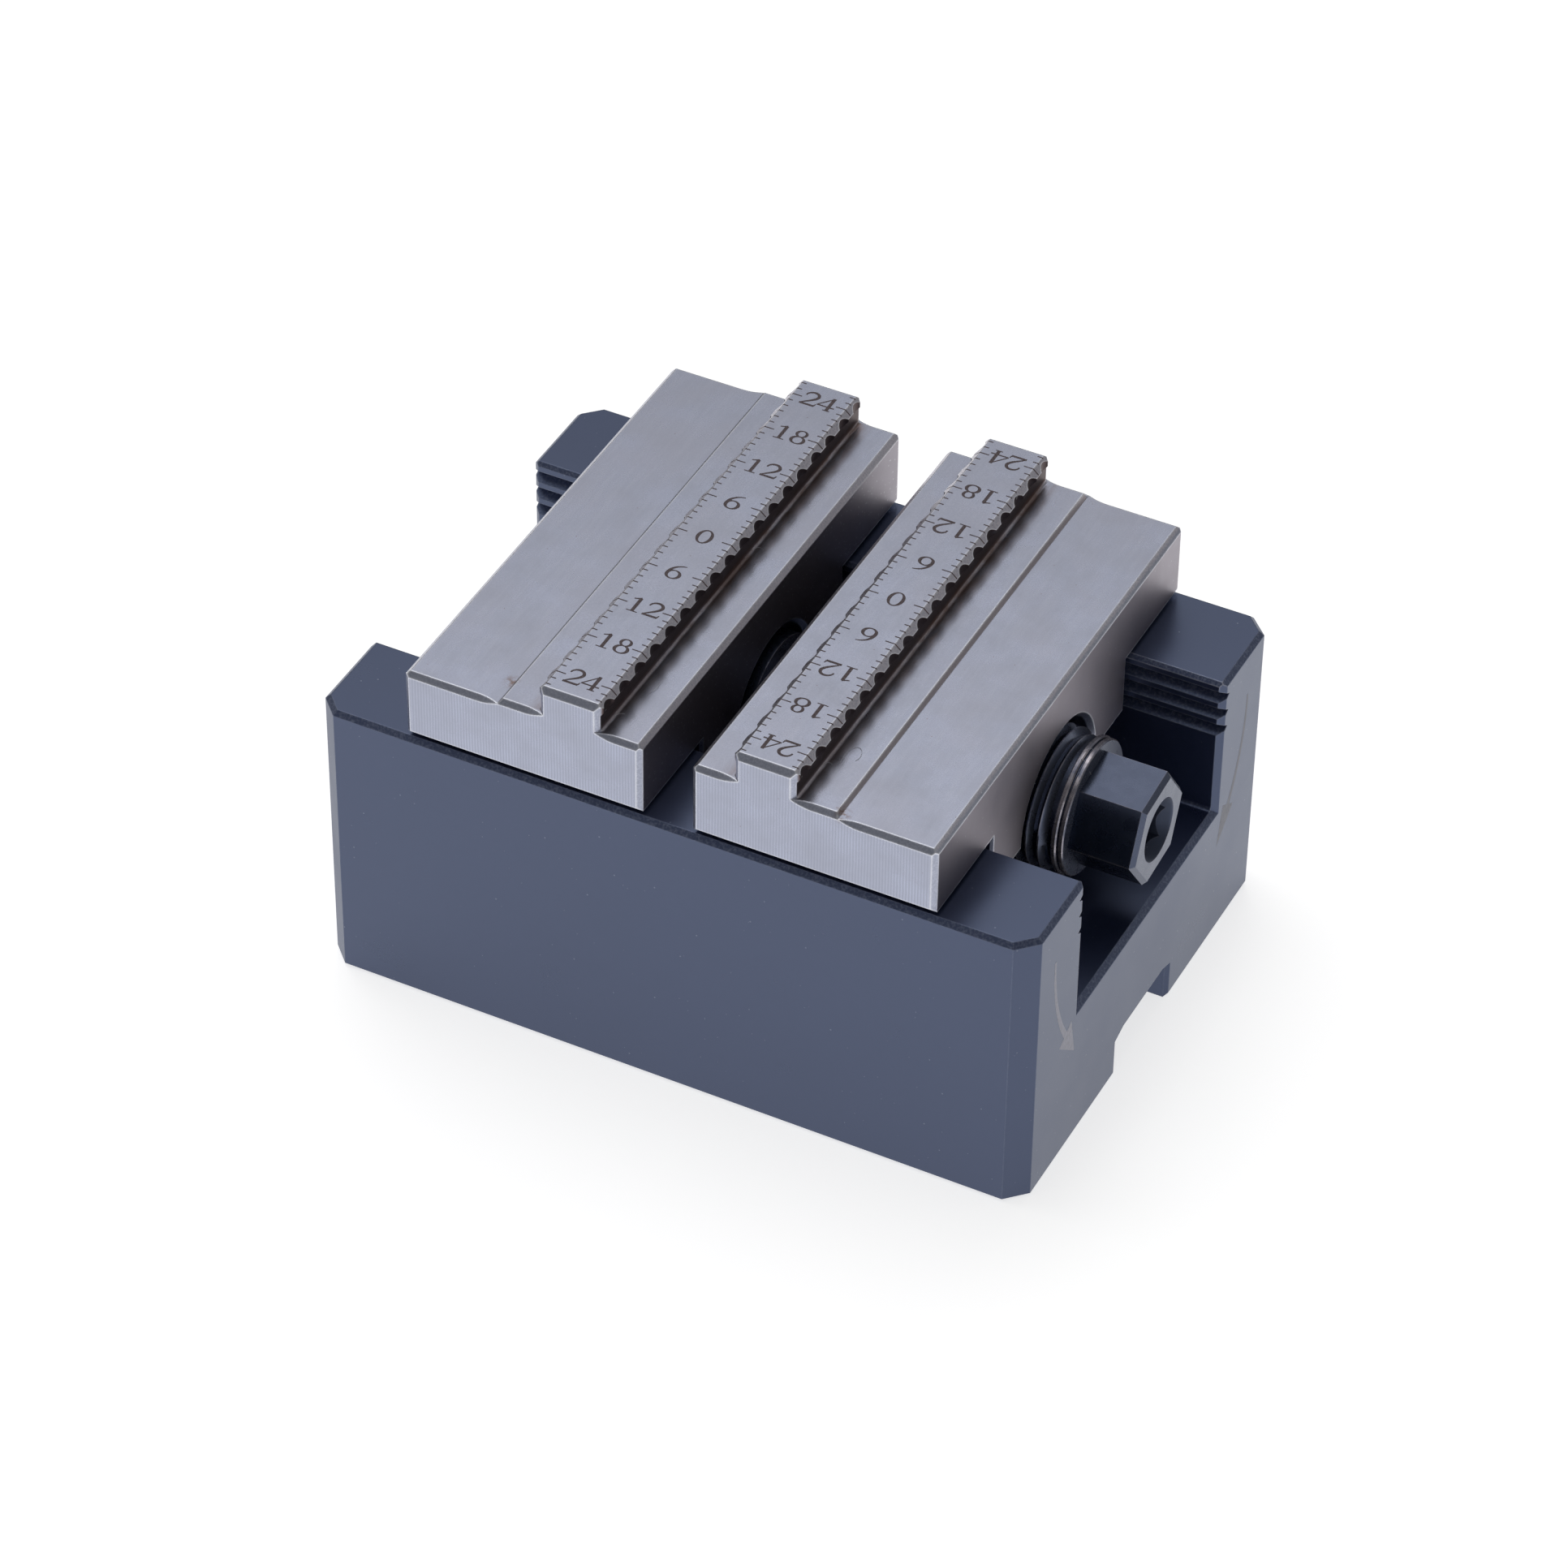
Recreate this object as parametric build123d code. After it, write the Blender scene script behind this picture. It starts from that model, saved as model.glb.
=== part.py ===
from build123d import *
from math import cos, pi, radians, sqrt, tan
import os

# Self centering vise: two jaws slide in a channel of the body and one spindle with a left-hand
# and a right-hand thread moves them together. X is the spindle's axis, Y the length of the jaws,
# Z is up. The origin is in the middle of the underside. All sizes are in millimetres.

# Body
body_length = 75.0
body_width = 54.0
body_height = 32.3
body_corner_chamfer = 2.0
body_edge_chamfer = 0.5
body_foot_chamfer = 0.4

# Channel along X, open at both ends, with V grooves that guide the jaws
channel_width = 31.4
channel_depth = 15.8
channel_mouth_chamfer = 0.4
channel_end_chamfer = 0.6
channel_floor_fillet = 0.5
groove_count = 3
groove_pitch = 2.0
groove_depth = 1.2
groove_angle = 60.0
first_groove_drop = 1.7

# Underside: key slot along X and four tapped holes
key_slot_width = 12.0
key_slot_depth = 4.6
key_slot_corner_run = 1.9
key_slot_corner_rise = 0.6
key_slot_end_chamfer = 0.4
fixing_spacing_x = 50.0
fixing_spacing_y = 34.0
fixing_radius = 2.5
fixing_depth = 10.0
fixing_mouth_chamfer = 0.5

# Jaws, measured outwards from the face that looks at the other jaw
jaw_gap = 5.2
jaw_thickness = 25.0
jaw_length = body_width
jaw_top_rise = 11.5
inner_shelf_rise = 8.4
outer_shelf_rise = 7.95
outer_shelf_start = 15.0
shelf_step_run = 0.3
jaw_underside_gap = 0.45
jaw_edge_chamfer = 0.5
jaw_corner_chamfer = 0.5

# Rib of the jaw with a toothed lip on both sides
rib_start = 4.4
rib_thickness = 6.2
rib_foot_fillet = 0.3
lip_proud = 0.4
lip_height = 0.3
lip_chamfer_run = 0.65
lip_chamfer_rise = 0.6
lip_slope_rise = 0.4
notch_pitch = 3.0
notch_radius = 1.3
notch_into_wall = 0.02
rib_end_chamfer = 0.6
rib_corner_chamfer = 0.46
chamfer_mill_radius = 5.0

# Carrier of the jaw, down in the channel
carrier_half_width = 14.8
carrier_relief_length = 1.5
carrier_corner_chamfer = 0.3
carrier_bottom_drop = 0.1
guide_clearance = 0.1

# Spindle
spindle_drop = 5.8
spindle_left_end = 30.0
spindle_right_end = 38.0
thread_radius = 7.0
thread_end_chamfer = 0.8
thread_runout_radius = 6.2
thread_runout_length = 0.6
journal_half_length = 5.0
neck_half_length = 2.0
neck_radius = 5.0
collar_start = 29.95
collar_radius = 6.9
collar_length = 0.55
collar_groove_length = 0.15
collar_groove_radius = 6.6
ring_length = 0.55
ring_radius = 6.8
ring_edge_chamfer = 0.12
hex_across_flats = 10.0
hex_turn = 6.6
hex_end_chamfer = 0.45
socket_across_flats = 5.0
socket_depth = 4.0
socket_drill_depth = 5.0
socket_drill_radius = 2.45
socket_mouth_radius = 3.25
socket_mouth_angle = 60.0
drill_point_angle = 118.0

# Half nut in the carrier
nut_clearance = 0.08
nut_relief_radius = 7.8
nut_relief_outer = 10.0
nut_relief_inner = 3.0
nut_mouth_chamfer = 0.5

# Countersunk screws of the saddle
screw_radius = 2.0
screw_length = 10.0
screw_head_radius = 4.0
screw_head_rim = 0.3
screw_spacing = 26.0
screw_clearance = 0.25
screw_thread_fit = 0.05
screw_hole_extra = 1.4
screw_socket_flats = 2.5
screw_socket_depth = 1.5

# Saddle that holds the spindle's middle, put in from below
screw_side_wall = 1.0
saddle_width = screw_spacing - 2 * (screw_radius + screw_side_wall)
saddle_clearance = 0.05
saddle_top_gap = 0.3
saddle_fit = 0.05
flange_length = 16.0
flange_rim = 1.0
flange_width = screw_spacing + 2 * (screw_head_radius + flange_rim)
flange_thickness = 5.0

# Heights and places that follow from the sizes above
top_z = body_height
floor_z = body_height - channel_depth
axis_z = body_height - spindle_drop
groove_half_height = groove_depth * tan(radians(groove_angle / 2))
carrier_bottom_z = axis_z - carrier_bottom_drop
jaw_inner_x = jaw_gap / 2
jaw_outer_x = jaw_inner_x + jaw_thickness
jaw_underside_z = top_z + jaw_underside_gap
rib_top_z = top_z + jaw_top_rise
rib_inner_x = jaw_inner_x + rib_start
rib_outer_x = rib_inner_x + rib_thickness
key_slot_wall = key_slot_depth - key_slot_corner_rise
flange_bottom_z = key_slot_depth
flange_top_z = flange_bottom_z + flange_thickness
saddle_length = 2 * journal_half_length
cut_past = 1.0


def prism(points, plane, length):
    """A closed outline in the given plane, extruded to both sides of it."""
    return extrude(plane * make_face(Polyline(*points, close=True)), length / 2, both=True)


def x_cylinder(radius, start, end, z=axis_z):
    """A cylinder along X between two places."""
    return Pos((start + end) / 2, 0, z) * Rot(0, 90, 0) * Cylinder(radius, end - start)


def obround(length_x, width_y, bottom, top):
    """An upright block with round ends, long in Y."""
    outline = Rot(0, 0, 90) * SlotOverall(width_y, length_x)
    return extrude(Pos(0, 0, bottom) * outline, top - bottom)


def both_sides_y(shape):
    """The shape and its mirror image across the XZ plane."""
    return [shape, mirror(shape, about=Plane.XZ)]


def both_ends_x(shape):
    """The shape and its mirror image across the YZ plane."""
    return [shape, mirror(shape, about=Plane.YZ)]


def channel_outline():
    """Section of the channel in Y and Z: mouth chamfer, V grooves, plain wall and floor."""
    tip = channel_width / 2
    above = top_z + cut_past
    side = [(tip + channel_mouth_chamfer + cut_past, above), (tip, top_z - channel_mouth_chamfer)]
    for index in range(groove_count):
        groove_z = top_z - first_groove_drop - index * groove_pitch
        side += [(tip, groove_z + groove_half_height), (tip + groove_depth, groove_z),
                 (tip, groove_z - groove_half_height)]
    side += [(tip, floor_z)]
    return side + [(-y, z) for y, z in reversed(side)]


def end_flare(width, bottom, top, chamfer):
    """The chamfer that a slot along X has round its mouth at the +X end of the body."""
    end_x = body_length / 2
    wide = Plane(origin=(end_x, 0, 0), x_dir=(0, 1, 0), z_dir=(1, 0, 0))
    tight = Plane(origin=(end_x - chamfer, 0, 0), x_dir=(0, 1, 0), z_dir=(1, 0, 0))
    middle = (bottom + top) / 2
    height = top - bottom
    mouth = wide * Pos(0, middle) * Rectangle(width + 2 * chamfer, height + 2 * chamfer)
    inner = tight * Pos(0, middle) * Rectangle(width, height)
    return loft([inner, mouth])


def key_slot_outline(grown):
    """Section of the key slot in Y and Z, with slanted upper corners, grown outwards for the flare."""
    half = key_slot_width / 2 + grown
    side = [(half, -3 * cut_past), (half, key_slot_wall + grown),
            (half - key_slot_corner_run, key_slot_depth + grown)]
    return side + [(-y, z) for y, z in reversed(side)]


def key_slot_flare():
    """The chamfer round the key slot's mouth at the +X end of the body."""
    size = key_slot_end_chamfer
    sections = []
    for x, grown in ((body_length / 2 - size, 0), (body_length / 2, size)):
        plane = Plane(origin=(x, 0, 0), x_dir=(0, 1, 0), z_dir=(1, 0, 0))
        sections.append(plane * make_face(Polyline(*key_slot_outline(grown), close=True)))
    return loft(sections)


def fixing_hole(x, y):
    """A tapped blind hole from below, at its tapping drill's size."""
    hole = Pos(x, y, fixing_depth / 2) * Cylinder(fixing_radius, fixing_depth)
    mouth = Pos(x, y, fixing_mouth_chamfer / 2) * Cone(
        fixing_radius + fixing_mouth_chamfer, fixing_radius, fixing_mouth_chamfer)
    return hole + mouth


def make_body():
    block = Pos(0, 0, body_height / 2) * Box(body_length, body_width, body_height)
    block = chamfer(block.edges().filter_by(Axis.Z), body_corner_chamfer)
    block = chamfer(block.faces().sort_by(Axis.Z)[-1].edges(), body_edge_chamfer)
    block = chamfer(block.faces().sort_by(Axis.Z)[0].edges(), body_foot_chamfer)

    channel = prism(channel_outline(), Plane.YZ, body_length + 2 * cut_past)
    floor_edges = [edge for edge in channel.edges().filter_by(Axis.X)
                   if abs(edge.center().Z - floor_z) < 0.01]
    cuts = [fillet(floor_edges, channel_floor_fillet)]
    cuts += both_ends_x(end_flare(channel_width, floor_z, top_z + 3 * cut_past, channel_end_chamfer))

    cuts.append(prism(key_slot_outline(0), Plane.YZ, body_length + 2 * cut_past))
    cuts += both_ends_x(key_slot_flare())

    cuts.append(obround(saddle_length + 2 * saddle_fit, saddle_width + 2 * saddle_fit, 0, top_z))
    cuts.append(obround(flange_length + 2 * saddle_fit, flange_width + 2 * saddle_fit,
                        -cut_past, flange_top_z))
    thread_z = flange_bottom_z + screw_length + screw_hole_extra
    for y in (-screw_spacing / 2, screw_spacing / 2):
        cuts.append(Pos(0, y, thread_z / 2) * Cylinder(screw_radius + screw_thread_fit, thread_z))
    for x in (-fixing_spacing_x / 2, fixing_spacing_x / 2):
        for y in (-fixing_spacing_y / 2, fixing_spacing_y / 2):
            cuts.append(fixing_hole(x, y))
    return block - cuts


def lip_profile(wall_x, outward):
    """Outline of the rib's wall and lip on one side, from the foot up to the top face."""
    proud_x = wall_x + outward * lip_proud
    shoulder_z = rib_top_z - lip_chamfer_rise
    return [(wall_x, shoulder_z - lip_height - lip_slope_rise), (proud_x, shoulder_z - lip_height),
            (proud_x, shoulder_z), (proud_x - outward * lip_chamfer_run, rib_top_z)]


def plate_outline():
    """Section of the right jaw above the channel, in X and Z."""
    shelf_z = top_z + inner_shelf_rise
    outer_z = top_z + outer_shelf_rise
    step_x = jaw_inner_x + outer_shelf_start
    edge = jaw_edge_chamfer
    inner_side = [(jaw_inner_x, jaw_underside_z), (jaw_inner_x, shelf_z - edge),
                  (jaw_inner_x + edge, shelf_z), (rib_inner_x, shelf_z)]
    outer_side = [(rib_outer_x, shelf_z), (step_x - shelf_step_run, shelf_z), (step_x, outer_z),
                  (jaw_outer_x - edge, outer_z), (jaw_outer_x, outer_z - edge),
                  (jaw_outer_x, jaw_underside_z)]
    return (inner_side + lip_profile(rib_inner_x, -1) + lip_profile(rib_outer_x, 1)[::-1]
            + outer_side)


def shelf_end_chamfer(start_x, end_x, surface_z, towards):
    """End chamfer of a shelf, stopped short of a wall as a chamfer mill stops there."""
    size = jaw_edge_chamfer
    mill = chamfer_mill_radius
    reach = sqrt(mill ** 2 - (mill - size) ** 2)
    mill_x = (end_x if towards > 0 else start_x) - towards * reach
    far_x = start_x - cut_past if towards > 0 else end_x + cut_past
    end_y = -jaw_length / 2
    wedge = [(end_y - cut_past, surface_z - size - cut_past), (end_y + size + cut_past, surface_z + cut_past),
             (end_y - cut_past, surface_z + cut_past)]
    straight = Pos((far_x + mill_x) / 2, 0, 0) * prism(wedge, Plane.YZ, abs(mill_x - far_x))
    cone = Pos(mill_x, end_y - mill + size, surface_z - size / 2) * Cone(mill - size, mill, size)
    return [straight, cone]


def rib_end_cuts():
    """End chamfer of the rib's top and the chamfers up both of its corners, at the -Y end."""
    end_y = -jaw_length / 2
    top = rib_end_chamfer
    side = rib_corner_chamfer
    over = cut_past
    top_wedge = [(end_y - over, rib_top_z - top - over), (end_y + top + over, rib_top_z + over),
                 (end_y - over, rib_top_z + over)]
    middle_x = (rib_inner_x + rib_outer_x) / 2
    cuts = [Pos(middle_x, 0, 0) * prism(top_wedge, Plane.YZ, rib_thickness + 2 * lip_proud)]
    foot_z = top_z + inner_shelf_rise
    height = rib_top_z - foot_z
    for wall_x, outward in ((rib_inner_x, -1), (rib_outer_x, 1)):
        corner = [(wall_x - outward * (side + over), end_y - over),
                  (wall_x + outward * over, end_y + side + over), (wall_x + outward * over, end_y - over)]
        cuts.append(Pos(0, 0, foot_z + height / 2) * prism(corner, Plane.XY, height))
    return cuts


def plate_corner_cuts():
    """Upright corner chamfers and the lower edge's chamfer at the -Y end of the plate."""
    end_y = -jaw_length / 2
    size = jaw_corner_chamfer
    over = cut_past
    cuts = []
    for face_x, outward in ((jaw_inner_x, -1), (jaw_outer_x, 1)):
        corner = [(face_x - outward * (size + over), end_y - over),
                  (face_x + outward * over, end_y + size + over), (face_x + outward * over, end_y - over)]
        cuts.append(Pos(0, 0, rib_top_z) * prism(corner, Plane.XY, 4 * jaw_top_rise))
    foot = [(end_y - over, jaw_underside_z + size + over), (end_y + size + over, jaw_underside_z - over),
            (end_y - over, jaw_underside_z - over)]
    cuts.append(Pos(jaw_outer_x, 0, 0) * prism(foot, Plane.YZ, 4 * jaw_thickness))
    return cuts


def notch_cuts():
    """Round notches along both lips, the same number on both sides of the middle tooth."""
    count = 2 * int(jaw_length / 2 / notch_pitch)
    bottom_z = rib_top_z - lip_chamfer_rise - lip_height - lip_slope_rise - notch_into_wall
    height = rib_top_z + cut_past - bottom_z
    cuts = []
    for wall_x, outward in ((rib_inner_x, -1), (rib_outer_x, 1)):
        centre_x = wall_x + outward * (notch_radius - notch_into_wall)
        for index in range(count):
            y = (index - (count - 1) / 2) * notch_pitch
            cuts.append(Pos(centre_x, y, bottom_z + height / 2) * Cylinder(notch_radius, height))
    return cuts


def make_plate():
    """The jaw above the channel: shelves, rib and toothed lips."""
    plate = prism(plate_outline(), Plane.XZ, jaw_length)
    shelf_z = top_z + inner_shelf_rise
    foot_edges = [edge for edge in plate.edges().filter_by(Axis.Y)
                  if abs(edge.center().Z - shelf_z) < 0.01
                  and min(abs(edge.center().X - rib_inner_x), abs(edge.center().X - rib_outer_x)) < 0.01]
    plate = fillet(foot_edges, rib_foot_fillet)
    step_x = jaw_inner_x + outer_shelf_start
    corner = rib_corner_chamfer
    cuts = rib_end_cuts() + plate_corner_cuts()
    cuts += shelf_end_chamfer(jaw_inner_x, rib_inner_x + corner, shelf_z, 1)
    cuts += shelf_end_chamfer(rib_outer_x - corner, step_x, shelf_z, -1)
    cuts += shelf_end_chamfer(step_x, jaw_outer_x, top_z + outer_shelf_rise, -1)
    plate = plate - [piece for cut in cuts for piece in both_sides_y(cut)]
    return plate - notch_cuts()


def guide_outline():
    """Section of the carrier's ridges, which run in the body's V grooves with a clearance."""
    ridge_tip = channel_width / 2 + groove_depth - guide_clearance / cos(radians(groove_angle / 2))
    ridge_root = ridge_tip - groove_pitch / 2 / tan(radians(groove_angle / 2))
    side = [(ridge_root, top_z)]
    for index in range(groove_count):
        ridge_z = top_z - first_groove_drop - index * groove_pitch
        side += [(ridge_root, ridge_z + groove_pitch / 2), (ridge_tip, ridge_z)]
    last_z = top_z - first_groove_drop - (groove_count - 0.5) * groove_pitch
    side += [(ridge_root, last_z)]
    return side + [(-y, z) for y, z in reversed(side)]


def make_carrier():
    """The block under the plate, with its guide ridges and the half nut along its underside."""
    middle_x = (jaw_inner_x + jaw_outer_x) / 2
    height = jaw_underside_z - carrier_bottom_z
    middle_z = carrier_bottom_z + height / 2
    core = Pos(middle_x, 0, middle_z) * Box(jaw_thickness, 2 * carrier_half_width, height)
    core = chamfer(core.edges().filter_by(Axis.Z), carrier_corner_chamfer)
    ridge_length = jaw_thickness - 2 * carrier_relief_length
    ridges = Pos(middle_x, 0, 0) * prism(guide_outline(), Plane.YZ, ridge_length)
    below = Pos(middle_x, 0, carrier_bottom_z - body_height / 2) * Box(
        2 * jaw_thickness, body_width, body_height)
    return core + (ridges - below)


def half_nut_cuts():
    """Bore over the spindle's upper half, relieved and chamfered at both faces of the jaw."""
    mouth = nut_relief_radius + nut_mouth_chamfer
    cuts = [x_cylinder(thread_radius + nut_clearance, jaw_inner_x - cut_past, jaw_outer_x + cut_past),
            x_cylinder(nut_relief_radius, jaw_inner_x - cut_past, jaw_inner_x + nut_relief_inner),
            x_cylinder(nut_relief_radius, jaw_outer_x - nut_relief_outer, jaw_outer_x + cut_past)]
    for face_x, turn in ((jaw_inner_x, 90), (jaw_outer_x, -90)):
        inset = nut_mouth_chamfer / 2 if turn > 0 else -nut_mouth_chamfer / 2
        cuts.append(Pos(face_x + inset, 0, axis_z) * Rot(0, turn, 0)
                    * Cone(mouth, nut_relief_radius, nut_mouth_chamfer))
    return cuts


def make_right_jaw():
    return make_plate() + make_carrier() - half_nut_cuts()


def spindle_outline():
    """Half section of the turned part of the spindle, as X and radius."""
    collar_end = collar_start + collar_length
    ring_start = collar_end + collar_groove_length
    ring_end = ring_start + ring_length
    edge = ring_edge_chamfer
    left = -spindle_left_end
    return [(left, 0), (left, thread_radius - thread_end_chamfer), (left + thread_end_chamfer, thread_radius),
            (-neck_half_length, thread_radius), (-neck_half_length, neck_radius),
            (neck_half_length, neck_radius), (neck_half_length, thread_radius),
            (collar_start - 2 * thread_runout_length, thread_radius),
            (collar_start - thread_runout_length, thread_runout_radius),
            (collar_start, thread_runout_radius), (collar_start, collar_radius - edge),
            (collar_start + edge, collar_radius), (collar_end - edge, collar_radius),
            (collar_end, collar_radius - edge), (collar_end, collar_groove_radius),
            (ring_start, collar_groove_radius), (ring_start, ring_radius - edge),
            (ring_start + edge, ring_radius), (ring_end - edge, ring_radius),
            (ring_end, ring_radius - edge), (ring_end, 0)]


def make_spindle():
    outline = Plane.XZ * Pos(0, axis_z) * make_face(Polyline(*spindle_outline(), close=True))
    turned = revolve(outline, Axis((0, 0, axis_z), (1, 0, 0)))
    hex_start = collar_start + collar_length + collar_groove_length + ring_length
    end = Plane(origin=(spindle_right_end, 0, axis_z), x_dir=(0, 1, 0), z_dir=(1, 0, 0))
    head = extrude(end * RegularPolygon(hex_across_flats / 2, 6, major_radius=False, rotation=hex_turn),
                   hex_start - spindle_right_end)
    head = chamfer(head.faces().sort_by(Axis.X)[-1].edges(), hex_end_chamfer)
    socket = extrude(end * RegularPolygon(socket_across_flats / 2, 6, major_radius=False, rotation=hex_turn),
                     -socket_depth)
    drill_start = spindle_right_end - socket_drill_depth
    drill = x_cylinder(socket_drill_radius, drill_start, spindle_right_end)
    point = socket_drill_radius / tan(radians(drill_point_angle / 2))
    tip = Pos(drill_start - point / 2, 0, axis_z) * Rot(0, 90, 0) * Cone(0, socket_drill_radius, point)
    mouth_depth = (socket_mouth_radius - socket_drill_radius) / tan(radians(socket_mouth_angle / 2))
    mouth = Pos(spindle_right_end - mouth_depth / 2, 0, axis_z) * Rot(0, 90, 0) * Cone(
        socket_drill_radius, socket_mouth_radius, mouth_depth)
    return turned + head - [socket, drill, tip, mouth]


def make_saddle():
    """Block under the spindle's middle, with a tongue that runs in the spindle's neck."""
    top = carrier_bottom_z - saddle_top_gap
    block = obround(saddle_length, saddle_width, flange_bottom_z, top)
    block += obround(flange_length, flange_width, flange_bottom_z, flange_top_z)
    journal = thread_radius + saddle_clearance
    tongue_half = neck_half_length - saddle_clearance
    cuts = both_ends_x(x_cylinder(journal, tongue_half, saddle_length))
    cuts.append(x_cylinder(neck_radius + saddle_clearance, -saddle_length, saddle_length))
    head = screw_head_radius - screw_radius
    for y in (-screw_spacing / 2, screw_spacing / 2):
        middle_z = flange_bottom_z + flange_thickness / 2
        cuts.append(Pos(0, y, middle_z) * Cylinder(screw_radius + screw_clearance, flange_thickness))
        cuts.append(Pos(0, y, flange_bottom_z + (screw_head_rim + screw_clearance) / 2) * Cylinder(
            screw_head_radius + screw_clearance, screw_head_rim + screw_clearance))
        cuts.append(Pos(0, y, flange_bottom_z + screw_head_rim + screw_clearance + head / 2) * Cone(
            screw_head_radius + screw_clearance, screw_radius + screw_clearance, head))
    return block - cuts


def make_screw(y):
    """Countersunk screw, head down, flush with the saddle's flange."""
    head = screw_head_radius - screw_radius
    rim_top = flange_bottom_z + screw_head_rim
    rim = Pos(0, y, flange_bottom_z + screw_head_rim / 2) * Cylinder(screw_head_radius, screw_head_rim)
    cone = Pos(0, y, rim_top + head / 2) * Cone(screw_head_radius, screw_radius, head)
    shank = Pos(0, y, flange_bottom_z + screw_length / 2) * Cylinder(screw_radius, screw_length)
    socket = Pos(0, y, flange_bottom_z) * RegularPolygon(screw_socket_flats / 2, 6, major_radius=False)
    return rim + cone + shank - extrude(socket, screw_socket_depth)


def make_parts():
    right_jaw = make_right_jaw()
    screws = [make_screw(y) for y in (-screw_spacing / 2, screw_spacing / 2)]
    return {
        "body": make_body(),
        "right_jaw": right_jaw,
        "left_jaw": mirror(right_jaw, about=Plane.YZ),
        "spindle": make_spindle(),
        "spindle_saddle": make_saddle(),
        "saddle_screws": Compound(children=screws),
    }


os.makedirs("parts", exist_ok=True)
for node, shape in make_parts().items():
    export_step(shape, f"parts/{node}.step")
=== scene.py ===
from math import atan2, cos, pi, radians, sin, sqrt, tan

import bmesh
import bpy
from mathutils import Matrix, Vector


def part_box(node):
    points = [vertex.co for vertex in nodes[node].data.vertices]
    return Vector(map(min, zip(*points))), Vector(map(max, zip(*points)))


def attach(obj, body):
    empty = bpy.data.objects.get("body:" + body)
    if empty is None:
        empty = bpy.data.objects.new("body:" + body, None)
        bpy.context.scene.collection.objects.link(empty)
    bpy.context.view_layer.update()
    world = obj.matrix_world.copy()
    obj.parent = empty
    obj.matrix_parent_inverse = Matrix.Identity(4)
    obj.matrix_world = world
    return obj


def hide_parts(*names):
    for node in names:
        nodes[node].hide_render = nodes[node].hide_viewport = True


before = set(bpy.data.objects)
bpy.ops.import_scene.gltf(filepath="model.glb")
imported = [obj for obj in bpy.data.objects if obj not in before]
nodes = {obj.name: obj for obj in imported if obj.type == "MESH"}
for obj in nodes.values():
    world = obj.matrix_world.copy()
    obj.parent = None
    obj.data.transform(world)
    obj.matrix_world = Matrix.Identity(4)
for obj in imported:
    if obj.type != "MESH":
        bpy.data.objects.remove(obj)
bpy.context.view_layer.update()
scene = bpy.context.scene
mm = 0.001


# Camera. It looks down on the vise from the front right, at the photograph's angle. Its place is
# measured from the middle of the body's top face.
body_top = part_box("body")[1].z
azimuth, elevation, roll = radians(26.552), radians(40.53), radians(0.757)
camera_distance = 585.95 * mm
camera_right = -1.3735 * mm
camera_up = -11.596 * mm
lens_length = 141.216
sensor_width = 36.0

back = Vector((sin(azimuth) * cos(elevation), -cos(azimuth) * cos(elevation), sin(elevation)))
level_right = Vector((cos(azimuth), sin(azimuth), 0))
level_up = back.cross(level_right)
right = cos(roll) * level_right + sin(roll) * level_up
up = cos(roll) * level_up - sin(roll) * level_right
place = Vector((0, 0, body_top)) + right * camera_right + up * camera_up + back * camera_distance

camera_data = bpy.data.cameras.new("camera")
camera_data.lens = lens_length
camera_data.sensor_width = sensor_width
camera = bpy.data.objects.new("camera", camera_data)
camera.matrix_world = Matrix.Translation(place) @ Matrix((right, up, back)).transposed().to_4x4()
scene.collection.objects.link(camera)
scene.camera = camera


# Studio. A white surround and a pale floor under one broad soft box overhead and to the left, with
# soft edges. What shines shows that box, light bands low in front and to the right, and the floor.
# An edge or a start is a pair: where the light begins, and where it is whole.
scene.view_settings.view_transform = "Standard"
box_level, surround_level = 1.90, 0.20
box_right_edge = (0.15, -0.10)
box_front_edge = (-0.45, -0.10)
box_low_edge = (0.55, 0.75)
box_middle_fade = (0.69, 0.80, 1.0, 0.52)
front_band_level = 1.3
front_band_start = (0.0, -0.4)
front_band_height = (0.22, 0.11)
side_band_level = 0.36
side_band_right_edge = (0.3, 0.5)
side_band_back_edge = (0.2, 0.4)
side_band_height = (0.55, 0.42)
floor_size = 2.4
floor_tone = 0.78
floor_roughness = 0.9
floor_specular = 0.1
floor_glow = 0.70
floor_shine = 0.72
soft_box_side = Vector((-0.25, 0.25, 0.93)).normalized()
soft_box_size = 0.5
soft_box_away = 0.95
soft_box_power = 0.6

def add_node(tree, kind, **settings):
    """A new node with its properties set, or its inputs where the name is an input's."""
    made = tree.nodes.new(kind)
    for name, value in settings.items():
        socket = made.inputs.get(name.replace("_", " "))
        if hasattr(made, name) and name not in ("inputs", "outputs"):
            setattr(made, name, value)
        else:
            socket.default_value = value
    return made

def maths(tree, operation, first, second=None, clamp=False):
    """A Math node over sockets or plain numbers."""
    made = add_node(tree, "ShaderNodeMath", operation=operation, use_clamp=clamp)
    for index, value in enumerate((first, second)):
        if isinstance(value, (int, float)):
            made.inputs[index].default_value = value
        elif value is not None:
            tree.links.new(value, made.inputs[index])
    return made.outputs[0]

def product(tree, *factors):
    """All the factors multiplied together."""
    result = factors[0]
    for factor in factors[1:]:
        result = maths(tree, "MULTIPLY", result, factor)
    return result

def total(tree, *terms):
    """All the terms added together."""
    result = terms[0]
    for term in terms[1:]:
        result = maths(tree, "ADD", result, term)
    return result

def inverse(tree, value):
    """One less the value."""
    return maths(tree, "SUBTRACT", 1.0, value)

def axes(tree, vector):
    """The three parts of a vector."""
    made = add_node(tree, "ShaderNodeSeparateXYZ")
    tree.links.new(vector, made.inputs[0])
    return made.outputs[0], made.outputs[1], made.outputs[2]

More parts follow.
